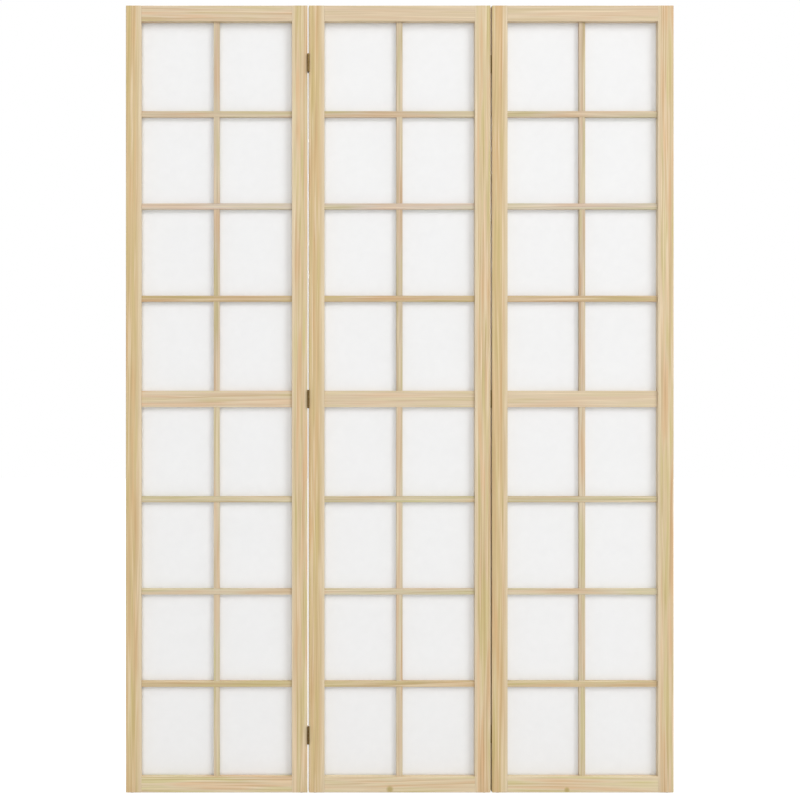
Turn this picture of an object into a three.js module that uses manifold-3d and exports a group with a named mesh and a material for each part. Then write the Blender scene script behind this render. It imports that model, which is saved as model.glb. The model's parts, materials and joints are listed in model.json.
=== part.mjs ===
// A shoji folding screen of three panels: a pine lattice over one sheet of white paper in each
// mortised pine frame, hung on six small butt hinges, and standing on domed nail-on glides.
// Millimetres. +X runs to the viewer's right, +Y away from the viewer, +Z up from the floor.
import * as THREE from 'three';
import Module from 'manifold-3d';
import { mergeVertices } from 'three/addons/utils/BufferGeometryUtils.js';

const wasm = await Module();
wasm.setup();

// ---- Driving dimensions -------------------------------------------------------------------

// Panels
const panelNames = ['left', 'middle', 'right'];
const frameHeight = 1698;
const panelWidth = 392;
const panelGap = 3;
const frameDepth = 20;
const stileFace = 33.5;
const railFace = 34;
const middleRailFace = 35.5;
const outerRound = 1.4;
const innerRound = 0.6;
const endChamfer = 0.5;

// Lattice of muntins, level with the middle rail and set back from the frame's front
const latticeRecess = 6;
const latticeDepth = 10;
const muntinFace = 13;
const muntinRound = 0.5;
const muntinsPerHalf = 3;
const endLightExtra = 6;

// Joints in the wood
const glueLine = 0.1;
const mortiseFit = 0.15;
const mortiseEndGap = 0.5;
const mortiseWall = 12;
const railTenonThickness = 7;
const railTenonInnerShoulder = 5;
const nailToTenon = 2.5;
const stubTenonThickness = 5;
const muntinTenonShoulder = 2;
const middleRailTenonShoulder = 6;

// Paper and the ledge routed for it round the back of the opening. The lattice's stub tenons go
// as deep into the frame as the ledge is wide.
const paperThickness = 0.4;
const ledgeWidth = 8;
const paperMargin = 1.5;
const pasteLine = 0.1;

// Glides
const glideRise = 2;
const glideRadius = 6.3;
const glideFlatRadius = 3;
const glideInset = 13;
const nailRadius = 0.9;
const nailLength = 12;
const nailPoint = 2;
const nailHoleFit = 0.3;

// Hinges
const hingeLength = 38;
const hingeEndInset = 124;
const leafWidth = 15.5;
const leafThickness = 1.1;
const leafSeat = 0.1;
const knuckleCount = 5;
const knuckleRadius = 2.6;
const knuckleEndGap = 0.25;
const knuckleFaceGap = 0.2;
const knuckleSwingGap = 0.25;
const pinRadius = 1.2;
const pinFit = 0.15;
const pinHeadRadius = 1.9;
const pinHeadRise = 0.9;
const pinHeadRim = 0.3;
const pinHeadTopRadius = 1.3;
const screwHoleRadius = 1.6;
const countersinkRadius = 2.6;
const countersinkDepth = 0.9;
const screwFromPin = 9;
const screwFromLeafEnd = 8;

// ---- Sizes worked out from the ones above -------------------------------------------------

const openingWidth = panelWidth - 2 * stileFace;
const halfOpening = (frameHeight - 2 * railFace - middleRailFace) / 2;
const lightsPerHalf = muntinsPerHalf + 1;
const lightsTotal = halfOpening - muntinsPerHalf * muntinFace;
const innerLight = (lightsTotal - 2 * endLightExtra) / lightsPerHalf;
const muntinPitch = innerLight + muntinFace;
const frontY = -frameDepth / 2;
const backY = frameDepth / 2;
const latticeFrontY = frontY + latticeRecess;
const latticeBackY = latticeFrontY + latticeDepth;
const latticeMiddleY = (latticeFrontY + latticeBackY) / 2;
const middleRailBottom = railFace + halfOpening;
const middleRailCentre = middleRailBottom + middleRailFace / 2;
const halves = [
  { name: 'lower', bottom: railFace },
  { name: 'upper', bottom: middleRailBottom + middleRailFace },
];
const panelPitch = panelWidth + panelGap;
const pinFromFace = knuckleRadius + knuckleFaceGap;
const pinY = frameDepth / 2 + pinFromFace;

// Facets: how finely curves are drawn, and how far cutting and joining solids run past a surface
const frameCurveSegments = 2;
const knuckleSides = 12;
const pinSides = 10;
const screwHoleSides = 10;
const glideSides = 16;
const glideDomeSteps = 3;
const overlapForJoin = 1;
const pastSurface = 2;

// A tenon's offset is from the middle of its board's face, towards the opening.
// The outer rails' tenons keep clear of the glides' nails, so they sit nearer the opening.
const railTenonOuterShoulder = nailLength + nailToTenon;
const railTenon = {
  length: stileFace - mortiseWall - mortiseEndGap,
  thickness: railTenonThickness,
  width: railFace - railTenonOuterShoulder - railTenonInnerShoulder,
  offset: (railTenonOuterShoulder - railTenonInnerShoulder) / 2,
  y: 0,
};
const muntinTenon = {
  length: ledgeWidth,
  thickness: stubTenonThickness,
  width: muntinFace - 2 * muntinTenonShoulder,
  offset: 0,
  y: latticeMiddleY,
};
const middleRailTenon = {
  length: ledgeWidth,
  thickness: stubTenonThickness,
  width: middleRailFace - 2 * middleRailTenonShoulder,
  offset: 0,
  y: latticeMiddleY,
};

// The height of a muntin's centre above the bottom of its half of the opening.
function muntinHeight(index) {
  return halfOpening / 2 + (index - (muntinsPerHalf - 1) / 2) * muntinPitch;
}

// ---- Materials ----------------------------------------------------------------------------

const pine = { color: 0xd5be96, roughness: 0.55, metalness: 0 };
const latticePine = { color: 0xcdb58c, roughness: 0.6, metalness: 0 };
const shojiPaper = { color: 0xf2f2ef, roughness: 0.9, metalness: 0 };
const antiqueBronze = { color: 0x6e5c3b, roughness: 0.45, metalness: 1 };
const nylon = { color: 0xb5a990, roughness: 0.5, metalness: 0 };

function meshOf(name, geometry, finish) {
  const mesh = new THREE.Mesh(geometry, new THREE.MeshStandardMaterial(finish));
  mesh.name = name;
  return mesh;
}

// ---- Solids -------------------------------------------------------------------------------

// A closed geometry as a solid that can be joined and cut.
function solidOf(geometry) {
  const bare = geometry.clone();
  bare.deleteAttribute('normal');
  bare.deleteAttribute('uv');
  const merged = mergeVertices(bare, 1e-4);
  return new wasm.Manifold(
    new wasm.Mesh({
      numProp: 3,
      vertProperties: merged.attributes.position.array,
      triVerts: new Uint32Array(merged.index.array),
    }),
  );
}

// A solid as a geometry with flat faces.
function geometryOf(solid) {
  const made = solid.getMesh();
  const shared = new THREE.BufferGeometry();
  shared.setAttribute('position', new THREE.BufferAttribute(made.vertProperties, 3));
  shared.setIndex(new THREE.BufferAttribute(made.triVerts, 1));
  const geometry = shared.toNonIndexed();
  geometry.computeVertexNormals();
  return geometry;
}

// A block between two limits on each axis, given in either order.
function block([xA, xB], [yA, yB], [zA, zB]) {
  const box = new THREE.BoxGeometry(Math.abs(xB - xA), Math.abs(yB - yA), Math.abs(zB - zA));
  box.translate((xA + xB) / 2, (yA + yB) / 2, (zA + zB) / 2);
  return solidOf(box);
}

// A cylinder along Z between two heights.
function rod(radius, zLow, zHigh, sides) {
  const cylinder = new THREE.CylinderGeometry(radius, radius, zHigh - zLow, sides);
  cylinder.rotateX(Math.PI / 2);
  cylinder.translate(0, 0, (zLow + zHigh) / 2);
  return solidOf(cylinder);
}

// A profile of [radius, height] points turned round Z.
function turned(profile, sides) {
  const lathe = new THREE.LatheGeometry(profile.map(([r, z]) => new THREE.Vector2(r, z)), sides);
  lathe.rotateX(Math.PI / 2);
  return lathe;
}

function between(middle, size) {
  return [middle - size / 2, middle + size / 2];
}

// ---- Boards -------------------------------------------------------------------------------

// A board's section, its face along X and its depth along Y, with its long edges rounded.
function boardSection(face, depth, lowRound, highRound) {
  const x = face / 2;
  const y = depth / 2;
  const quarter = Math.PI / 2;
  const section = new THREE.Shape();
  section.absarc(x - highRound, highRound - y, highRound, -quarter, 0, false);
  section.absarc(x - highRound, y - highRound, highRound, 0, quarter, false);
  section.absarc(lowRound - x, y - lowRound, lowRound, quarter, 2 * quarter, false);
  section.absarc(lowRound - x, lowRound - y, lowRound, 2 * quarter, 3 * quarter, false);
  return section;
}

// A board with its length along Z, from zero up, centred at depthMiddle.
function board({ face, depth, length, rounds, depthMiddle = 0, chamfer = 0, curveSegments = 1 }) {
  const section = boardSection(face, depth, rounds[0], rounds[1]);
  const geometry = new THREE.ExtrudeGeometry(section, {
    depth: length - 2 * chamfer,
    curveSegments,
    bevelEnabled: chamfer > 0,
    bevelThickness: chamfer,
    bevelSize: chamfer,
    bevelOffset: -chamfer,
    bevelSegments: 1,
  });
  geometry.translate(0, depthMiddle, chamfer);
  return solidOf(geometry);
}

// A tenon at each end of a board. openingSide is the side of the board, -1 or +1 along X, that
// its offset is towards.
function addTenons(solid, tenon, length, openingSide = 1) {
  const reach = glueLine + tenon.length;
  const across = between(openingSide * tenon.offset, tenon.width);
  const through = between(tenon.y, tenon.thickness);
  const low = block(across, through, [-reach, overlapForJoin]);
  const high = block(across, through, [length - overlapForJoin, length + reach]);
  return solid.add(low).add(high);
}

// The hole for a tenon in a board's edge, at a distance along the board. side is the edge's side
// of the board, -1 or +1 along X.
function mortise(tenon, face, side, along) {
  const edge = (side * face) / 2;
  return block(
    [edge + side * pastSurface, edge - side * (tenon.length + mortiseEndGap)],
    between(tenon.y, tenon.thickness + 2 * mortiseFit),
    between(along, tenon.width + 2 * mortiseFit),
  );
}

// ---- Parts of a panel ---------------------------------------------------------------------

// Upright, its length along Z. inward is +1 or -1, the side of the opening along X.
function stileGeometry(inward) {
  let stile = board({
    face: stileFace,
    depth: frameDepth,
    length: frameHeight,
    rounds: inward > 0 ? [outerRound, innerRound] : [innerRound, outerRound],
    chamfer: endChamfer,
    curveSegments: frameCurveSegments,
  });
  const mortiseFor = (tenon, height) => mortise(tenon, stileFace, inward, height);
  const railTenonHeight = railFace / 2 + railTenon.offset;
  stile = stile.subtract(mortiseFor(railTenon, railTenonHeight));
  stile = stile.subtract(mortiseFor(railTenon, frameHeight - railTenonHeight));
  stile = stile.subtract(mortiseFor(middleRailTenon, middleRailCentre));
  for (const half of halves) {
    for (let index = 0; index < muntinsPerHalf; index += 1) {
      stile = stile.subtract(mortiseFor(muntinTenon, half.bottom + muntinHeight(index)));
    }
  }
  const innerEdge = (inward * stileFace) / 2;
  const ledge = block(
    [innerEdge + inward * pastSurface, innerEdge - inward * ledgeWidth],
    [latticeBackY, backY + pastSurface],
    [railFace - ledgeWidth, frameHeight - railFace + ledgeWidth],
  );
  const holeTop = nailLength + mortiseEndGap;
  const nailHole = rod(nailRadius + nailHoleFit, -pastSurface, holeTop, pinSides);
  const nailX = inward * (glideInset - stileFace / 2);
  return geometryOf(stile.subtract(ledge).subtract(nailHole.translate(nailX, 0, 0)));
}

// A rail lies along local Z with its upward edge on local +X. openingSide is +1 or -1.
function outerRailGeometry(openingSide) {
  const length = openingWidth - 2 * glueLine;
  const edge = (openingSide * railFace) / 2;
  const ledge = block(
    [edge + openingSide * pastSurface, edge - openingSide * ledgeWidth],
    [latticeBackY, backY + pastSurface],
    [-pastSurface, length + pastSurface],
  );
  const bare = board({
    face: railFace,
    depth: frameDepth,
    length,
    rounds: openingSide > 0 ? [outerRound, innerRound] : [innerRound, outerRound],
    curveSegments: frameCurveSegments,
  });
  const muntinMortise = mortise(muntinTenon, railFace, openingSide, length / 2);
  const rail = addTenons(bare, railTenon, length, openingSide);
  return geometryOf(rail.subtract(ledge).subtract(muntinMortise));
}

// A board of the lattice plane, its edges barely broken.
function latticeBoard(face, length) {
  return board({
    face,
    depth: latticeDepth,
    depthMiddle: latticeMiddleY,
    length,
    rounds: [muntinRound, muntinRound],
  });
}

function middleRailGeometry() {
  const length = openingWidth - 2 * glueLine;
  const bare = latticeBoard(middleRailFace, length);
  const upperMortise = mortise(muntinTenon, middleRailFace, 1, length / 2);
  const lowerMortise = mortise(muntinTenon, middleRailFace, -1, length / 2);
  const rail = addTenons(bare, middleRailTenon, length);
  return geometryOf(rail.subtract(upperMortise).subtract(lowerMortise));
}

// A lattice bar along local Z with a stub tenon at each end, before its half laps are cut.
function latticeBar(length) {
  return addTenons(latticeBoard(muntinFace, length), muntinTenon, length);
}

// Half a bar's depth, cut away where another bar crosses. openY is the face that the notch is
// open at, and outward is -1 or +1 along Y, the way that face looks.
function halfLap(openY, outward, middle) {
  return block(
    between(0, muntinFace + 2 * pastSurface),
    [openY + outward * pastSurface, latticeMiddleY - (outward * glueLine) / 2],
    between(middle, muntinFace + 2 * mortiseFit),
  );
}

// The horizontal bars run through in front and are notched from behind.
function horizontalMuntinGeometry() {
  const length = openingWidth - 2 * glueLine;
  return geometryOf(latticeBar(length).subtract(halfLap(latticeBackY, 1, length / 2)));
}

// The vertical bars lie behind them at the crossings and are notched from the front.
function verticalMuntinGeometry() {
  let bar = latticeBar(halfOpening - 2 * glueLine);
  for (let index = 0; index < muntinsPerHalf; index += 1) {
    bar = bar.subtract(halfLap(latticeFrontY, -1, muntinHeight(index) - glueLine));
  }
  return geometryOf(bar);
}

function paperGeometry() {
  const reach = 2 * (ledgeWidth - paperMargin);
  const width = openingWidth + reach;
  const height = frameHeight - 2 * railFace + reach;
  const sheet = new THREE.Shape();
  sheet.moveTo(-width / 2, 0);
  sheet.lineTo(width / 2, 0);
  sheet.lineTo(width / 2, height);
  sheet.lineTo(-width / 2, height);
  const geometry = new THREE.ExtrudeGeometry(sheet, { depth: paperThickness, bevelEnabled: false });
  return geometry.rotateX(Math.PI / 2);
}

// A domed cap with a flat at the bottom, and the nail that holds it, point up.
function glideGeometry() {
  const dome = [];
  for (let step = 0; step <= glideDomeSteps; step += 1) {
    const angle = (step / glideDomeSteps) * (Math.PI / 2);
    const radius = glideFlatRadius + (glideRadius - glideFlatRadius) * Math.sin(angle);
    dome.push([radius, -glideRise * Math.cos(angle)]);
  }
  const nail = [[nailRadius, 0], [nailRadius, nailLength - nailPoint], [0, nailLength]];
  return turned([[0, -glideRise], ...dome, ...nail], glideSides);
}

// ---- Hinges -------------------------------------------------------------------------------

// A hinge's pin stands on Z at the origin. side is -1 for the free leaf, whose two knuckles are
// bored, and +1 for the pin leaf, whose three knuckles hold the fixed pin. The leaves reach along
// +Y into the gap and lie against the stiles' edges.
function leafGeometry(side) {
  const holdsPin = side === 1;
  const outerX = side * (panelGap / 2 - leafSeat);
  const innerX = outerX - side * leafThickness;
  const halfLength = hingeLength / 2;
  const pitch = hingeLength / knuckleCount;
  let leaf = block([innerX, outerX], [0, leafWidth], [-halfLength, halfLength]);
  for (let index = 0; index < knuckleCount; index += 1) {
    const low = -halfLength + index * pitch;
    const high = low + pitch;
    const isOwn = (index % 2 === 0) === holdsPin;
    const lowGap = index === 0 ? 0 : knuckleEndGap / 2;
    const highGap = index === knuckleCount - 1 ? 0 : knuckleEndGap / 2;
    if (isOwn) {
      leaf = leaf.add(rod(knuckleRadius, low + lowGap, high - highGap, knuckleSides));
    } else {
      const swingRadius = knuckleRadius + knuckleSwingGap;
      leaf = leaf.subtract(rod(swingRadius, low - lowGap, high + highGap, knuckleSides));
    }
  }
  if (holdsPin) {
    const pin = rod(pinRadius, -halfLength, halfLength, pinSides);
    leaf = leaf.add(pin).add(pinHead(1)).add(pinHead(-1));
  } else {
    leaf = leaf.subtract(rod(pinRadius + pinFit, -hingeLength, hingeLength, pinSides));
  }
  for (const height of [halfLength - screwFromLeafEnd, screwFromLeafEnd - halfLength]) {
    leaf = leaf.subtract(screwHole(innerX, side).translate(0, screwFromPin, height));
  }
  return geometryOf(leaf);
}

// The riveted end of the pin, a low dome on the last knuckle.
function pinHead(end) {
  const seat = hingeLength / 2;
  const profile = [
    [0, seat - overlapForJoin],
    [pinHeadRadius, seat - overlapForJoin],
    [pinHeadRadius, seat + pinHeadRim],
    [pinHeadTopRadius, seat + pinHeadRise],
    [0, seat + pinHeadRise],
  ];
  const head = turned(profile, pinSides);
  if (end < 0) {
    head.rotateX(Math.PI);
  }
  return solidOf(head);
}

// A countersunk hole along X through a leaf, open widest at its inner face.
function screwHole(innerX, side) {
  const profile = [
    [0, -pastSurface],
    [countersinkRadius, -pastSurface],
    [countersinkRadius, 0],
    [screwHoleRadius, countersinkDepth],
    [screwHoleRadius, leafThickness + pastSurface],
    [0, leafThickness + pastSurface],
  ];
  const hole = turned(profile, screwHoleSides);
  hole.rotateY((side * Math.PI) / 2);
  hole.translate(innerX, 0, 0);
  return solidOf(hole);
}

// ---- Assembly -----------------------------------------------------------------------------

// Lays a piece made along Z across the panel, its +X edge up.
function layAcross(mesh, height) {
  mesh.rotation.y = -Math.PI / 2;
  mesh.position.set(openingWidth / 2 - glueLine, 0, height);
  return mesh;
}

const stileGeometries = { left: stileGeometry(1), right: stileGeometry(-1) };
const railGeometries = { top: outerRailGeometry(-1), bottom: outerRailGeometry(1) };
const middleRail = middleRailGeometry();
const horizontalMuntin = horizontalMuntinGeometry();
const verticalMuntin = verticalMuntinGeometry();
const paperSheet = paperGeometry();
const glide = glideGeometry();

function buildPanel(panelName) {
  const panel = new THREE.Group();
  const named = (part) => `${panelName}_panel_${part}`;

  for (const [sideName, side] of [['left', -1], ['right', 1]]) {
    const stile = meshOf(named(`${sideName}_stile`), stileGeometries[sideName], pine);
    stile.position.x = side * (openingWidth / 2 + stileFace / 2);
    panel.add(stile);

    const foot = meshOf(named(`${sideName}_glide`), glide, nylon);
    foot.position.x = side * (panelWidth / 2 - glideInset);
    panel.add(foot);
  }

  const topRail = meshOf(named('top_rail'), railGeometries.top, pine);
  const bottomRail = meshOf(named('bottom_rail'), railGeometries.bottom, pine);
  panel.add(layAcross(topRail, frameHeight - railFace / 2));
  panel.add(layAcross(meshOf(named('middle_rail'), middleRail, latticePine), middleRailCentre));
  panel.add(layAcross(bottomRail, railFace / 2));

  halves.forEach((half, halfIndex) => {
    const upright = meshOf(named(`${half.name}_vertical_muntin`), verticalMuntin, latticePine);
    upright.position.z = half.bottom + glueLine;
    panel.add(upright);
    for (let index = 0; index < muntinsPerHalf; index += 1) {
      const number = halfIndex * muntinsPerHalf + index + 1;
      const bar = meshOf(named(`horizontal_muntin_${number}`), horizontalMuntin, latticePine);
      panel.add(layAcross(bar, half.bottom + muntinHeight(index)));
    }
  });

  const paper = meshOf(named('paper'), paperSheet, shojiPaper);
  const paperBottom = railFace - ledgeWidth + paperMargin;
  paper.position.set(0, latticeBackY + pasteLine + paperThickness, paperBottom);
  panel.add(paper);
  return panel;
}

const freeLeaf = leafGeometry(-1);
const pinLeaf = leafGeometry(1);
const hingeHeights = {
  lower: hingeEndInset,
  middle: frameHeight / 2,
  upper: frameHeight - hingeEndInset,
};

// The left gap's pins stand in front of the screen and the right gap's behind it, so that the
// panels fold one to the front and one to the back, like a letter Z.
function buildHinges(gapName, side) {
  const hinges = new THREE.Group();
  hinges.position.set((side * panelPitch) / 2, side * pinY, 0);
  hinges.rotation.z = side < 0 ? 0 : Math.PI;
  for (const [level, height] of Object.entries(hingeHeights)) {
    const free = meshOf(`${gapName}_${level}_hinge_free_leaf`, freeLeaf, antiqueBronze);
    const fixed = meshOf(`${gapName}_${level}_hinge_pin_leaf`, pinLeaf, antiqueBronze);
    free.position.z = height;
    fixed.position.z = height;
    hinges.add(free, fixed);
  }
  return hinges;
}

const screen = new THREE.Group();
screen.position.z = glideRise;
panelNames.forEach((panelName, index) => {
  const panel = buildPanel(panelName);
  panel.position.x = (index - (panelNames.length - 1) / 2) * panelPitch;
  screen.add(panel);
});
screen.add(buildHinges('left', -1), buildHinges('right', 1));

export default screen;
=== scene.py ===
import json
import math
import random

import bmesh
import bpy
from mathutils import Matrix, Vector, noise


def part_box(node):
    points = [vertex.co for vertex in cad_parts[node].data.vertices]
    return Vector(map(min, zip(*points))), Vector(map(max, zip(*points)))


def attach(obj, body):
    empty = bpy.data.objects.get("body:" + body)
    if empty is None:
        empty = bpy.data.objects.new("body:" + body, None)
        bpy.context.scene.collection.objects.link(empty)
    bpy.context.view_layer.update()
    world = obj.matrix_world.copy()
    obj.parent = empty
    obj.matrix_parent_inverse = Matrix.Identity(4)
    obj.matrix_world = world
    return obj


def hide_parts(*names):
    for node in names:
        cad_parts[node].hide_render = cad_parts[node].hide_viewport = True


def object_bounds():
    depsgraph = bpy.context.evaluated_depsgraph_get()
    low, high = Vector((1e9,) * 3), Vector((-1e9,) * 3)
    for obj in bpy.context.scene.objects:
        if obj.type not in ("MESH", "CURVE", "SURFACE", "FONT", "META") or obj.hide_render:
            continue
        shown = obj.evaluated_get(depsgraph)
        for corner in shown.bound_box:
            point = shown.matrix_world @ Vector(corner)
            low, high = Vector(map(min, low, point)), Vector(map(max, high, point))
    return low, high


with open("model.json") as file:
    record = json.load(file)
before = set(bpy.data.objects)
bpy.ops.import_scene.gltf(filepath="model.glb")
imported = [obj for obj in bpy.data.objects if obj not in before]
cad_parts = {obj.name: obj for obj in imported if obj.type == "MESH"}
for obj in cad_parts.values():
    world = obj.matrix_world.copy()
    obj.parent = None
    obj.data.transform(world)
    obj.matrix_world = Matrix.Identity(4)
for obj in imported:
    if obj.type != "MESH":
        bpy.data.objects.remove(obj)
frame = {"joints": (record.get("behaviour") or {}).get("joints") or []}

MM = 0.001
cad_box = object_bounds()

PANELS = ("left", "middle", "right")
SIDES = ("left", "right")


# ---- Pieces -------------------------------------------------------------------------------


def corners(node):
    """A node's lowest and highest corner."""
    low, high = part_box(node)
    return Vector(low), Vector(high)


def set_material(node, material):
    """Gives a node of the frame its material."""
    materials = bpy.data.objects[node].data.materials
    materials.clear()
    materials.append(material)


def piece_from(mesh, name, material, smooth=False):
    """Makes an object of a bmesh, which is used up."""
    mesh.normal_update()
    data = bpy.data.meshes.new(name)
    mesh.to_mesh(data)
    mesh.free()
    data.materials.append(material)
    if smooth:
        data.shade_smooth()
    piece = bpy.data.objects.new(name, data)
    bpy.context.scene.collection.objects.link(piece)
    return piece


# ---- Node trees ---------------------------------------------------------------------------


def linear(hex_colour):
    """An sRGB hex colour as linear red, green, blue and alpha."""
    channels = [int(hex_colour[i : i + 2], 16) / 255 for i in (1, 3, 5)]
    return [c / 12.92 if c <= 0.04045 else ((c + 0.055) / 1.055) ** 2.4 for c in channels] + [1]


def socket(sockets, key):
    """A socket by its number, or by its name among those that the node's settings leave in use."""
    if isinstance(key, int):
        return sockets[key]
    return next(s for s in sockets if s.enabled and s.name == key)


def add(tree, kind, inputs, **settings):
    """A new node. inputs holds values, or other nodes' output sockets to link."""
    node = tree.nodes.new(kind)
    for name, value in settings.items():
        setattr(node, name, value)
    for key, value in inputs.items():
        if isinstance(value, bpy.types.NodeSocket):
            tree.links.new(value, socket(node.inputs, key))
        else:
            socket(node.inputs, key).default_value = value
    return node


def blank_material(name):
    """A material without nodes, and its node tree."""
    material = bpy.data.materials.new(name)
    material.use_nodes = True
    material.node_tree.nodes.clear()
    return material, material.node_tree


def tinted(tree, colour, by, tint, none_at, full_at, most=1, blend="MULTIPLY"):
    """The colour, with more of the tint the closer a value is to full_at."""
    share = add(
        tree,
        "ShaderNodeMapRange",
        {"Value": by, "From Min": none_at, "From Max": full_at, "To Max": most},
    )
    mixed = add(
        tree,
        "ShaderNodeMix",
        {"Factor": share.outputs["Result"], "A": colour, "B": linear(tint)},
        data_type="RGBA",
        blend_type=blend,
    )
    return mixed.outputs[2]


# ---- Pine ---------------------------------------------------------------------------------

# The early wood of the boards, by their place in a panel: golden stiles, and paler cross pieces.
BOARD_COLOURS = {
    "left_stile": "#D1B98C",
    "right_stile": "#D5C09B",
    "top_rail": "#D5C2A5",
    "middle_rail": "#D8C6AA",
    "bottom_rail": "#DDCDAE",
    "upper_vertical_muntin": "#CAB99F",
    "lower_vertical_muntin": "#D3C4A9",
    "horizontal_muntin_1": "#CDBA94",
    "horizontal_muntin_2": "#D1C5AB",
    "horizontal_muntin_3": "#CABF9F",
    "horizontal_muntin_4": "#C8B18C",
    "horizontal_muntin_5": "#CEC1B1",
    "horizontal_muntin_6": "#CABA9F",
}
# What a board's colour is multiplied by in the late wood of a ring, in patches that are pinker
# or more straw-yellow than the rest, and between its fibres, where they lie lower: there it is
# partly the wood's own figure and partly painted shade in the hollows between the fibres.
LATE_WOOD = "#E6D7C4"
BLUSH = "#FFF0E6"
STRAW = "#F5FAE2"
FIBRE_FIGURE_AND_SHADE = "#F2F0EC"
# What it turns to in its palest streaks, in the sapwood along a stile's inner edge and in knots.
PALE_STREAK = "#E9D8BB"
SAPWOOD = "#DAC8AA"
KNOT = "#A8934C"

RING_SPACING = 5.5 * MM
WAVE_PERIOD = 2 * math.pi / 20  # from ring to ring, in the wave texture's own units
DARKENING = 1.8  # the power by which a ring darkens from spring to winter
MEAN_RING_DEPTH = 0.2  # over a whole board
GRAIN_STRETCH = 18  # how much longer than wide the figure in the wood is
WANDER = 26 * MM  # how far rings stray from true circles, from side to side,
WANDER_SPAN = 50 * MM  # and over what distance
STRONG_YEARS_SPAN = 14.3 * MM  # from strong years to faint ones and back
PATCH_SIZE = 11.1 * MM
STREAK_WIDTH = 4 * MM
FIBRE_WIDTH = 1.1 * MM  # real fibres are too fine to show, so these are drawn coarser
# How much a length along the grain counts for in streaks and fibres, which run on for longer
# than the rest of the figure.
STREAK_LENGTHWISE = 0.3
FIBRE_LENGTHWISE = 0.12
FIBRE_RELIEF = 0.5  # how high a fibre stands next to late wood
# A knot's dark heart and the rim where it ends, as shares of its radius, and how dark it is.
KNOT_HEART = 0.5
KNOT_RIM = 1.3
KNOT_STRENGTH = 0.75

# How far the pith of its tree lies from the middle of a board, along the board's face and behind
# or before it, and the most that the board leans from the pith.
PITH_ASIDE = (24 * MM, 44 * MM)
PITH_BEHIND = (18 * MM, 34 * MM)
MOST_LEAN = math.radians(0.35)

# The boards that stand upright in a panel, and those that lie across it.
UPRIGHT =("left_stile", "right_stile", "lower_vertical_muntin", "upper_vertical_muntin")
CROSSWISE = tuple(part for part in BOARD_COLOURS if part not in UPRIGHT)
# How strong the figure of a part, or of one board, is next to that of the others.
BOLDNESS = {
    "left_stile": 0.8,
    "right_stile": 1.25,
    "left_panel_bottom_rail": 1.5,
    "middle_panel_top_rail": 0.3,
    "middle_panel_middle_rail": 0.6,
    "right_panel_top_rail": 0.45,
    "right_panel_middle_rail": 0.5,
}
# How wide the sapwood on each stile's inner edge is.
SAPWOOD_WIDTHS = {"left_stile": 13 * MM, "right_stile": 8 * MM}
# Small knots at the lower edge of two bottom rails: distance from the rail's left end, and radius.
RAIL_KNOTS = {
    "middle_panel_bottom_rail": (162 * MM, 7 * MM),
    "right_panel_bottom_rail": (149 * MM, 5.5 * MM),
}


def growth_rings(tree, trunk):
    """For a place in a trunk, that place moved as the rings wander there, and how deep in a
    year's dark late wood it is, from 0 to 1."""
    drift = add(
        tree,
        "ShaderNodeTexNoise",
        {"Vector": trunk, "Scale": 1 / WANDER_SPAN, "Detail": 2, "Roughness": 0.5},
    )
    centred = add(
        tree,
        "ShaderNodeVectorMath",
        {0: drift.outputs["Color"], 1: (0.5, 0.5, 0.5)},
        operation="SUBTRACT",
    )
    wandering = add(
        tree,
        "ShaderNodeVectorMath",
        {0: centred.outputs[0], 1: (WANDER, WANDER, 0), 2: trunk},
        operation="MULTIPLY_ADD",
    )
    rings = add(
        tree,
        "ShaderNodeTexWave",
        {
            "Vector": wandering.outputs[0],
            "Scale": WAVE_PERIOD / RING_SPACING,
            "Distortion": 3,
            "Detail": 3,
            "Detail Scale": 0.5,
        },
        wave_type="RINGS",
        rings_direction="Z",
        wave_profile="SAW",
    )
    # A ring darkens slowly through the summer and ends at once in winter.
    late_wood = add(
        tree, "ShaderNodeMath", {0: rings.outputs["Fac"], 1: DARKENING}, operation="POWER"
    )
    # Some years are strong and some faint.
    years = add(
        tree,
        "ShaderNodeTexNoise",
        {"Vector": wandering.outputs[0], "Scale": 1 / STRONG_YEARS_SPAN, "Detail": 2},
    )
    strength = add(
        tree,
        "ShaderNodeMapRange",
        {"Value": years.outputs["Fac"], "From Min": 0.35, "From Max": 0.65, "To Min": 0.1},
    )
    ring_depth = add(
        tree,
        "ShaderNodeMath",
        {0: late_wood.outputs[0], 1: strength.outputs["Result"]},
        operation="MULTIPLY",
    )
    return wandering.outputs[0], ring_depth.outputs[0]


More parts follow.
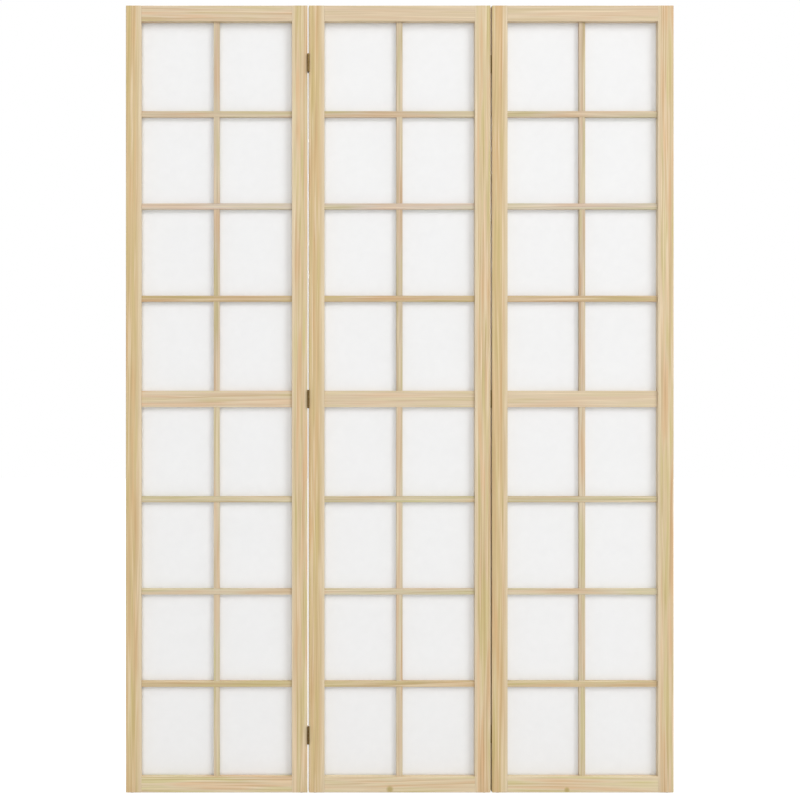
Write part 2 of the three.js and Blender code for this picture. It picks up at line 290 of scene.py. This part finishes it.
def planed_pine(name, colour, grain, pith, lean, boldness, knot, sapwood):
    """Planed pine under a thin clear satin lacquer: a soft sheen, growth rings cut lengthwise
    into straight stripes, end grain at the ends, and fine fibres that catch the light.

    grain is the axis that the board's length is on. pith is the middle of the tree that it was
    cut from, and lean the small angles between the two. boldness is how strong its figure is, 1
    on most boards. knot is the place and radius of a knot, or None. sapwood is the place along X
    of an edge with pale sapwood and how wide that is, negative towards -X, or None."""
    material, tree = blank_material(name)
    place = add(tree, "ShaderNodeTexCoord", {}).outputs["Object"]

    # In the tree: its pith is the local Z axis, and lengths along the grain are shortened.
    turn = math.pi / 2 if grain == "X" else 0
    trunk = add(
        tree,
        "ShaderNodeMapping",
        {
            "Vector": place,
            "Location": pith,
            "Rotation": (lean[0], turn + lean[1], 0),
            "Scale": (1, 1, GRAIN_STRETCH),
        },
        vector_type="TEXTURE",
    ).outputs[0]
    wandering, ring_depth = growth_rings(tree, trunk)

    # A board with a faint figure is as dark on the whole as one with a bold figure.
    figure = add(
        tree,
        "ShaderNodeMath",
        {0: ring_depth, 1: boldness, 2: (1 - boldness) * MEAN_RING_DEPTH},
        operation="MULTIPLY_ADD",
    )
    wood = tinted(tree, linear(colour), figure.outputs[0], LATE_WOOD, none_at=0, full_at=1)
    patches = add(
        tree,
        "ShaderNodeTexNoise",
        {"Vector": trunk, "Scale": 1 / PATCH_SIZE, "Detail": 2},
    ).outputs["Fac"]
    wood = tinted(tree, wood, patches, BLUSH, none_at=0.5, full_at=0.68, most=boldness)
    wood = tinted(tree, wood, patches, STRAW, none_at=0.5, full_at=0.32, most=boldness)
    if sapwood is not None:
        edge, width = sapwood
        along_x = add(tree, "ShaderNodeSeparateXYZ", {0: place}).outputs["X"]
        wood = tinted(
            tree, wood, along_x, SAPWOOD, none_at=edge + width, full_at=edge, blend="MIX"
        )
    drawn_out = add(
        tree, "ShaderNodeMapping", {"Vector": wandering, "Scale": (1, 1, STREAK_LENGTHWISE)}
    )
    streaks = add(
        tree,
        "ShaderNodeTexNoise",
        {"Vector": drawn_out.outputs[0], "Scale": 1 / STREAK_WIDTH, "Detail": 1},
    ).outputs["Fac"]
    wood = tinted(
        tree, wood, streaks, PALE_STREAK, none_at=0.54, full_at=0.7, most=0.45, blend="MIX"
    )

    fibre_place = add(
        tree, "ShaderNodeMapping", {"Vector": trunk, "Scale": (1, 1, FIBRE_LENGTHWISE)}
    )
    fibres = add(
        tree,
        "ShaderNodeTexNoise",
        {"Vector": fibre_place.outputs[0], "Scale": 1 / FIBRE_WIDTH, "Detail": 2},
    ).outputs["Fac"]
    # Darker where the fibres lie low: partly the wood's own figure, partly painted shade in the
    # hollows between them.
    wood = tinted(tree, wood, fibres, FIBRE_FIGURE_AND_SHADE, none_at=0.6, full_at=0.35)
    if knot is not None:
        centre, radius = knot
        away = add(tree, "ShaderNodeVectorMath", {0: place, 1: centre}, operation="DISTANCE")
        wood = tinted(
            tree,
            wood,
            away.outputs["Value"],
            KNOT,
            none_at=KNOT_RIM * radius,
            full_at=KNOT_HEART * radius,
            most=KNOT_STRENGTH,
            blend="MIX",
        )

    # Late wood is harder, so the plane leaves it smoother and a little proud.
    roughness = add(
        tree, "ShaderNodeMapRange", {"Value": ring_depth, "To Min": 0.56, "To Max": 0.44}
    )
    relief = add(
        tree,
        "ShaderNodeMath",
        {0: fibres, 1: FIBRE_RELIEF, 2: ring_depth},
        operation="MULTIPLY_ADD",
    )
    bump = add(
        tree,
        "ShaderNodeBump",
        {"Height": relief.outputs[0], "Distance": 0.06 * MM, "Strength": 0.7},
    )
    shader = add(
        tree,
        "ShaderNodeBsdfPrincipled",
        {
            "Base Color": wood,
            "IOR": 1.5,
            "Roughness": roughness.outputs["Result"],
            "Normal": bump.outputs[0],
        },
    )
    add(tree, "ShaderNodeOutputMaterial", {"Surface": shader.outputs[0]})
    return material


def saw_board(node, part, grain):
    """Picks where in a tree a board was cut, and gives the node that pine."""
    low, high = corners(node)
    draw = random.Random(node)
    aside = draw.choice((-1, 1)) * draw.uniform(*PITH_ASIDE)
    behind = draw.choice((-1, 1)) * draw.uniform(*PITH_BEHIND)
    offset = (aside, behind, 0) if grain == "Z" else (0, behind, aside)
    # The pith passes level with the board's middle, and each board has its own stretch of it.
    pith = (low + high) / 2 + Vector(offset)
    lean = [draw.uniform(-MOST_LEAN, MOST_LEAN) for _ in range(2)]
    knot = None
    if node in RAIL_KNOTS:
        from_left, radius = RAIL_KNOTS[node]
        knot = ((low.x + from_left, low.y, low.z + radius), radius)
    sapwood = None
    if part == "left_stile":
        sapwood = (high.x, -SAPWOOD_WIDTHS[part])
    if part == "right_stile":
        sapwood = (low.x, SAPWOOD_WIDTHS[part])
    boldness = BOLDNESS.get(node, BOLDNESS.get(part, 1))
    colour = BOARD_COLOURS[part]
    pine = planed_pine(f"pine_{node}", colour, grain, pith, lean, boldness, knot, sapwood)
    set_material(node, pine)


# ---- Metal and nylon ----------------------------------------------------------------------

HINGE_BRONZE = "#624F2F"
HINGE_WORN = "#7C6844"
SCREW_BRONZE = "#5A492D"
SCREW_WORN = "#73603F"
MOTTLE_SIZE = 4 * MM
METAL_GRIT = 0.4 * MM  # drawn coarser than the tumbled surface's own, which is too fine to show

NYLON = "#B9AC92"
SCUFFED_NYLON = "#8C857A"
SCUFF_SIZE = 1.5 * MM
SCUFFED_HEIGHT = 1.5 * MM  # how far above the floor the scuffs reach


def bronzed_steel(name, bronze, worn):
    """Stamped steel with an antique bronze plating: brown metal, mottled where the plating is
    thin, with a fine tumbled surface."""
    material, tree = blank_material(name)
    place = add(tree, "ShaderNodeTexCoord", {}).outputs["Object"]
    mottle = add(
        tree, "ShaderNodeTexNoise", {"Vector": place, "Scale": 1 / MOTTLE_SIZE, "Detail": 3}
    ).outputs["Fac"]
    plating = tinted(
        tree, linear(bronze), mottle, worn, none_at=0.45, full_at=0.75, blend="MIX"
    )
    roughness = add(
        tree, "ShaderNodeMapRange", {"Value": mottle, "To Min": 0.32, "To Max": 0.5}
    )
    grit = add(
        tree, "ShaderNodeTexNoise", {"Vector": place, "Scale": 1 / METAL_GRIT, "Detail": 2}
    )
    bump = add(
        tree,
        "ShaderNodeBump",
        {"Height": grit.outputs["Fac"], "Distance": 0.02 * MM, "Strength": 0.5},
    )
    shader = add(
        tree,
        "ShaderNodeBsdfPrincipled",
        {
            "Base Color": plating,
            "Metallic": 1,
            "Roughness": roughness.outputs["Result"],
            "Normal": bump.outputs[0],
        },
    )
    add(tree, "ShaderNodeOutputMaterial", {"Surface": shader.outputs[0]})
    return material


def moulded_nylon():
    """Moulded nylon in a wood-like tan: slightly waxy, and scuffed grey where it has slid."""
    material, tree = blank_material("moulded_nylon")
    place = add(tree, "ShaderNodeTexCoord", {}).outputs["Object"]
    height = add(tree, "ShaderNodeSeparateXYZ", {0: place}).outputs["Z"]
    low_down = add(
        tree,
        "ShaderNodeMapRange",
        {
            "Value": height,
            "From Min": 0,
            "From Max": SCUFFED_HEIGHT,
            "To Min": 0.7,
            "To Max": 0.1,
        },
    )
    scuffs = add(
        tree, "ShaderNodeTexNoise", {"Vector": place, "Scale": 1 / SCUFF_SIZE, "Detail": 3}
    ).outputs["Fac"]
    scuffed = add(
        tree,
        "ShaderNodeMath",
        {0: low_down.outputs["Result"], 1: scuffs},
        operation="MULTIPLY",
    ).outputs[0]
    colour = add(
        tree,
        "ShaderNodeMix",
        {"Factor": scuffed, "A": linear(NYLON), "B": linear(SCUFFED_NYLON)},
        data_type="RGBA",
    )
    roughness = add(
        tree, "ShaderNodeMapRange", {"Value": scuffed, "To Min": 0.38, "To Max": 0.62}
    )
    bump = add(
        tree, "ShaderNodeBump", {"Height": scuffs, "Distance": 0.03 * MM, "Strength": 0.4}
    )
    shader = add(
        tree,
        "ShaderNodeBsdfPrincipled",
        {
            "Base Color": colour.outputs[2],
            "IOR": 1.53,
            "Roughness": roughness.outputs["Result"],
            "Normal": bump.outputs[0],
        },
    )
    add(tree, "ShaderNodeOutputMaterial", {"Surface": shader.outputs[0]})
    return material


# ---- Paper --------------------------------------------------------------------------------

PAPER_WHITE = "#F2F2F2"
PALER_CLOUDS = "#F6F6F6"
CLOUD_SIZE = 14 * MM
THREAD_SPACING = 18 * MM
THREAD_RELIEF = 0.3  # how high the pressed-in fibres stand next to the clouds
# How much of the light that isn't absorbed at a face of the sheet goes into the sheet.
PAPER_LETS_THROUGH = 0.3

PAPER_CELL = 12 * MM  # mesh size of a sheet
COCKLE = 0.3 * MM  # how far a sheet may stand off its plane between the bars
COCKLE_LENGTH = 60 * MM
FREE_SPAN = 35 * MM  # from a bar to where the paper is free to cockle


def shoji_paper():
    """Bleached shoji paper: matt and white, slightly cloudy, with long fibres pressed into it,
    and thin enough to let light through."""
    material, tree = blank_material("bleached_shoji_paper")
    place = add(tree, "ShaderNodeTexCoord", {}).outputs["Object"]
    clouds = add(
        tree, "ShaderNodeTexNoise", {"Vector": place, "Scale": 1 / CLOUD_SIZE, "Detail": 4}
    ).outputs["Fac"]
    threads = add(
        tree,
        "ShaderNodeTexNoise",
        {"Vector": place, "Scale": 1 / THREAD_SPACING, "Detail": 2, "Distortion": 1.5},
        noise_type="RIDGED_MULTIFRACTAL",
    )
    cloudy = add(
        tree,
        "ShaderNodeMix",
        {"Factor": clouds, "A": linear(PAPER_WHITE), "B": linear(PALER_CLOUDS)},
        data_type="RGBA",
    ).outputs[2]
    relief = add(
        tree,
        "ShaderNodeMath",
        {0: threads.outputs["Fac"], 1: THREAD_RELIEF, 2: clouds},
        operation="MULTIPLY_ADD",
    )
    bump = add(
        tree,
        "ShaderNodeBump",
        {"Height": relief.outputs[0], "Distance": 0.05 * MM, "Strength": 0.4},
    )
    lit = add(
        tree,
        "ShaderNodeBsdfPrincipled",
        {
            "Base Color": cloudy,
            "IOR": 1.45,
            "Specular IOR Level": 0.2,
            "Roughness": 0.85,
            "Normal": bump.outputs[0],
        },
    )
    let_through = add(tree, "ShaderNodeBsdfTranslucent", {"Color": cloudy})
    shader = add(
        tree,
        "ShaderNodeMixShader",
        {0: PAPER_LETS_THROUGH, 1: lit.outputs[0], 2: let_through.outputs[0]},
    )
    add(tree, "ShaderNodeOutputMaterial", {"Surface": shader.outputs[0]})
    return material


def glued_edges(panel):
    """The places along X and the heights where a panel's paper is glued to wood."""
    places, heights = [], []
    for part in UPRIGHT:
        low, high = corners(f"{panel}_panel_{part}")
        places += [low.x, high.x]
    for part in CROSSWISE:
        low, high = corners(f"{panel}_panel_{part}")
        heights += [low.z, high.z]
    return places, heights


def paper_sheet(panel, material):
    """A thin sheet on the back of a panel's lattice, flat where it is glued and very slightly
    cockled in the middle of each light."""
    node = f"{panel}_panel_paper"
    low, high = corners(node)
    places, heights = glued_edges(panel)
    columns = round((high.x - low.x) / PAPER_CELL)
    rows = round((high.z - low.z) / PAPER_CELL)

    def slack(x, z):
        near = min(min(abs(x - p) for p in places), min(abs(z - h) for h in heights))
        free = min(near / FREE_SPAN, 1)
        wave = noise.noise(Vector((x, low.y, z)) / COCKLE_LENGTH)
        return COCKLE * free * free * (3 - 2 * free) * (0.5 + 0.5 * wave)

    mesh = bmesh.new()
    grid = {}
    for side, y in (("front", low.y), ("back", high.y)):
        for row in range(rows + 1):
            for column in range(columns + 1):
                x = low.x + (high.x - low.x) * column / columns
                z = low.z + (high.z - low.z) * row / rows
                grid[side, row, column] = mesh.verts.new((x, y + slack(x, z), z))
    for row in range(rows):
        for column in range(columns):
            cell = [(row, column), (row, column + 1), (row + 1, column + 1), (row + 1, column)]
            mesh.faces.new([grid["front", r, c] for r, c in cell])
            mesh.faces.new([grid["back", r, c] for r, c in reversed(cell)])
    rim = (
        [(0, c) for c in range(columns)]
        + [(r, columns) for r in range(rows)]
        + [(rows, c) for c in range(columns, 0, -1)]
        + [(r, 0) for r in range(rows, 0, -1)]
    )
    for here, there in zip(rim, rim[1:] + rim[:1]):
        edge = [("front", *there), ("front", *here), ("back", *here), ("back", *there)]
        mesh.faces.new([grid[key] for key in edge])
    sheet = piece_from(mesh, f"{panel}_panel_paper_sheet", material, smooth=True)
    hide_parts(node)
    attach(sheet, f"{panel}_panel")


# ---- Hinge screws -------------------------------------------------------------------------

# The hinges' leaves, as the frame has them.
LEAF_LENGTH = 38 * MM
LEAF_INNER_FACE = 0.3 * MM  # from the middle of the gap

SCREW_FROM_PIN = 9 * MM
SCREW_FROM_LEAF_END = 8 * MM
SCREW_HEAD_RADIUS = 2.5 * MM
SCREW_HEAD_DEPTH = 1.05 * MM
SCREW_SHANK_RADIUS = 1.35 * MM
SCREW_LENGTH = 12 * MM
SCREW_POINT = 3 * MM
SCREW_SIDES = 24
HEAD_BELOW_LEAF = 0.05 * MM
RECESS_REACH = 1.45 * MM
RECESS_HALF_WIDTH = 0.42 * MM
RECESS_DEPTH = 0.8 * MM
RECESS_TAPER = 0.6  # how wide the recess's floor is next to its mouth


def countersunk_screw(name, head_centre, into, body, material):
    """A small cross-recessed countersunk screw. head_centre is the middle of its head's flat
    face, and into is -1 or +1, the way along X that it goes into the wood."""
    mesh = bmesh.new()

    def ring(radius, depth):
        turns = [2 * math.pi * i / SCREW_SIDES for i in range(SCREW_SIDES)]
        return [mesh.verts.new((radius * math.cos(a), radius * math.sin(a), depth)) for a in turns]

    def sides(loop):
        return zip(loop, loop[1:] + loop[:1])

    def close(first, second):
        for (a, b), (c, d) in zip(sides(first), sides(second)):
            mesh.faces.new([a, b, d, c])

    rim = ring(SCREW_HEAD_RADIUS, 0)
    neck = ring(SCREW_SHANK_RADIUS, SCREW_HEAD_DEPTH)
    shoulder = ring(SCREW_SHANK_RADIUS, SCREW_LENGTH - SCREW_POINT)
    tip = mesh.verts.new((0, 0, SCREW_LENGTH))
    close(rim, neck)
    close(neck, shoulder)
    for a, b in sides(shoulder):
        mesh.faces.new([a, b, tip])

    # The cross: three corners in each quarter, then its sloping walls and its floor.
    reach, half = RECESS_REACH, RECESS_HALF_WIDTH
    quarter = [(reach, -half), (reach, half), (half, half)]
    outline = []
    for turn in range(4):
        spin = Matrix.Rotation(turn * math.pi / 2, 2)
        outline += [spin @ Vector(point) for point in quarter]
    mouth = [mesh.verts.new((p.x, p.y, 0)) for p in outline]
    floor = [
        mesh.verts.new((RECESS_TAPER * p.x, RECESS_TAPER * p.y, RECESS_DEPTH)) for p in outline
    ]
    close(mouth, floor)
    mesh.faces.new(floor)
    # The head's flat face, between its rim and the recess.
    edges = [mesh.edges.get(side) for loop in (rim, mouth) for side in sides(loop)]
    bmesh.ops.triangle_fill(mesh, use_beauty=True, edges=edges)
    bmesh.ops.recalc_face_normals(mesh, faces=mesh.faces)
    turned = Matrix.Rotation(into * math.pi / 2, 4, "Y")
    mesh.transform(Matrix.Translation(head_centre) @ turned)
    screw = piece_from(mesh, name, material)
    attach(screw, body)


def hinge_screws(side, level, material):
    """A hinge's four screws: two in the free leaf, on the outer panel on that side, and two in
    the leaf with the pin, on the middle panel."""
    joint = next(j for j in frame["joints"] if j["name"] == f"{side}_fold")
    pin = Vector(joint["pos_m"])
    towards_stile = -1 if pin.y > 0 else 1
    outwards = -1 if side == "left" else 1
    half = LEAF_LENGTH / 2 - SCREW_FROM_LEAF_END
    for leaf, body, into in (
        ("free_leaf", f"{side}_panel", outwards),
        ("pin_leaf", "middle_panel", -outwards),
    ):
        low, high = corners(f"{side}_{level}_hinge_{leaf}")
        x = pin.x + into * (LEAF_INNER_FACE + HEAD_BELOW_LEAF)
        y = pin.y + towards_stile * SCREW_FROM_PIN
        middle = (low.z + high.z) / 2
        for end, z in (("lower", middle - half), ("upper", middle + half)):
            name = f"{side}_{level}_hinge_{leaf}_{end}_screw"
            countersunk_screw(name, Vector((x, y, z)), into, body, material)


# ---- The scene round the screen -----------------------------------------------------------

SCREEN_MIDDLE = (Vector(cad_box[0]) + Vector(cad_box[1])) / 2

FLOOR_HALF_WIDTH = 12
FLOOR_MATT = "#DADADA"  # what lights the screen from below
FLOOR_GLOW = 0.9  # what the camera sees: a glow, and a dim surface that shows the shadow
FLOOR_DIM = "#8F8F8F"
AMBIENT = 0.45  # strength of the surroundings' light, next to the white that the camera sees
FILL_ANGLE = math.radians(12)  # how wide a fill looks, which softens its shadows

FRAME_WIDTH = 1.7258  # how much the photograph shows across at the screen's front,
FRAME_MIDDLE = 0.0004  # and where along X the middle of that is
CAMERA_X = -0.34
CAMERA_DISTANCE = 3.0  # from the frames' faces
CAMERA_HEIGHT = 0.8488


def studio_floor():
    """A pale floor. The camera sees it as white, with the screen's shadow kept faint on it."""
    far = FLOOR_HALF_WIDTH
    mesh = bmesh.new()
    outline = ((-far, -far), (far, -far), (far, far), (-far, far))
    mesh.faces.new([mesh.verts.new((x, y, 0)) for x, y in outline])
    material, tree = blank_material("studio_floor")
    matt = add(tree, "ShaderNodeBsdfDiffuse", {"Color": linear(FLOOR_MATT)})
    glow = add(tree, "ShaderNodeEmission", {"Strength": FLOOR_GLOW})
    dim = add(tree, "ShaderNodeBsdfDiffuse", {"Color": linear(FLOOR_DIM)})
    seen = add(tree, "ShaderNodeAddShader", {0: glow.outputs[0], 1: dim.outputs[0]})
    rays = add(tree, "ShaderNodeLightPath", {})
    shader = add(
        tree,
        "ShaderNodeMixShader",
        {0: rays.outputs["Is Camera Ray"], 1: matt.outputs[0], 2: seen.outputs[0]},
    )
    add(tree, "ShaderNodeOutputMaterial", {"Surface": shader.outputs[0]})
    piece_from(mesh, "studio_floor", material)


def white_surroundings():
    """White where the camera, metal or gloss looks, and a weak even light on everything else."""
    world = bpy.data.worlds.new("white_surroundings")
    world.use_nodes = True
    tree = world.node_tree
    tree.nodes.clear()
    rays = add(tree, "ShaderNodeLightPath", {})
    white = rays.outputs["Is Camera Ray"]
    for ray in ("Is Glossy Ray", "Is Transmission Ray"):
        either = {0: white, 1: rays.outputs[ray]}
        white = add(tree, "ShaderNodeMath", either, operation="ADD", use_clamp=True).outputs[0]
    strength = add(
        tree, "ShaderNodeMapRange", {"Value": white, "To Min": AMBIENT, "To Max": 1}
    )
    background = add(
        tree,
        "ShaderNodeBackground",
        {"Color": linear("#FFFFFF"), "Strength": strength.outputs["Result"]},
    )
    add(tree, "ShaderNodeOutputWorld", {"Surface": background.outputs[0]})
    bpy.context.scene.world = world


def lamp(name, kind, share, place, **settings):
    """A lamp that shines from its place, told from the screen's middle, and gives a white
    surface facing it share of its full brightness. Of a sun, only the direction counts."""
    data = bpy.data.lights.new(name, kind)
    for key, value in settings.items():
        setattr(data, key, value)
    towards = Vector(place)
    made = bpy.data.objects.new(name, data)
    bpy.context.scene.collection.objects.link(made)
    made.rotation_euler = towards.to_track_quat("Z", "Y").to_euler()
    if kind == "SUN":
        data.energy = share * math.pi
    else:
        made.location = SCREEN_MIDDLE + towards
        data.energy = share * (math.pi * towards.length) ** 2


def studio_lights():
    """Weak fills from behind, from the sides and from above, and two large soft lamps in front."""
    for name, share, place in (
        ("back_fill", 0.22, (0, 1, 0.12)),
        ("left_fill", 0.08, (-1, 0, 0.12)),
        ("right_fill", 0.05, (1, 0, 0.12)),
        ("top_fill", 0.35, (0, 0, 1)),
    ):
        lamp(name, "SUN", share, place, angle=FILL_ANGLE)
    for name, share, place, width, height in (
        ("overhead", 0.21, (-3, -12, 7.2), 3.3, 10),
        ("softbox", 0.43, (6.6, -7.5, 6.375), 5, 6.1),
    ):
        lamp(name, "AREA", share, place, shape="RECTANGLE", size=width, size_y=height)


def photo_camera():
    """Square to the screen, and left of its middle: from there light shows through the left gap
    between the panels but not through the right one, as in the photograph. The lens shift
    brings the screen back to the middle of the picture."""
    scene = bpy.context.scene
    scene.view_settings.view_transform = "Standard"
    data = bpy.data.cameras.new("photo_camera")
    camera = bpy.data.objects.new("photo_camera", data)
    scene.collection.objects.link(camera)
    scene.camera = camera
    front = corners("middle_panel_left_stile")[0].y
    camera.location = (CAMERA_X, front - CAMERA_DISTANCE, CAMERA_HEIGHT)
    camera.rotation_euler = (math.pi / 2, 0, 0)
    data.sensor_fit = "HORIZONTAL"
    data.lens = data.sensor_width * CAMERA_DISTANCE / FRAME_WIDTH
    data.shift_x = (FRAME_MIDDLE - CAMERA_X) / FRAME_WIDTH


# ---- Making it all ------------------------------------------------------------------------

photo_camera()
studio_lights()
white_surroundings()
studio_floor()

paper = shoji_paper()
for panel in PANELS:
    for part in UPRIGHT:
        saw_board(f"{panel}_panel_{part}", part, "Z")
    for part in CROSSWISE:
        saw_board(f"{panel}_panel_{part}", part, "X")
    paper_sheet(panel, paper)

nylon = moulded_nylon()
for panel in PANELS:
    for side in SIDES:
        set_material(f"{panel}_panel_{side}_glide", nylon)

hinge_metal = bronzed_steel("bronzed_steel_hinge", HINGE_BRONZE, HINGE_WORN)
screw_metal = bronzed_steel("bronzed_steel_screw", SCREW_BRONZE, SCREW_WORN)
for side in SIDES:
    for level in ("lower", "middle", "upper"):
        for leaf in ("free_leaf", "pin_leaf"):
            set_material(f"{side}_{level}_hinge_{leaf}", hinge_metal)
        hinge_screws(side, level, screw_metal)
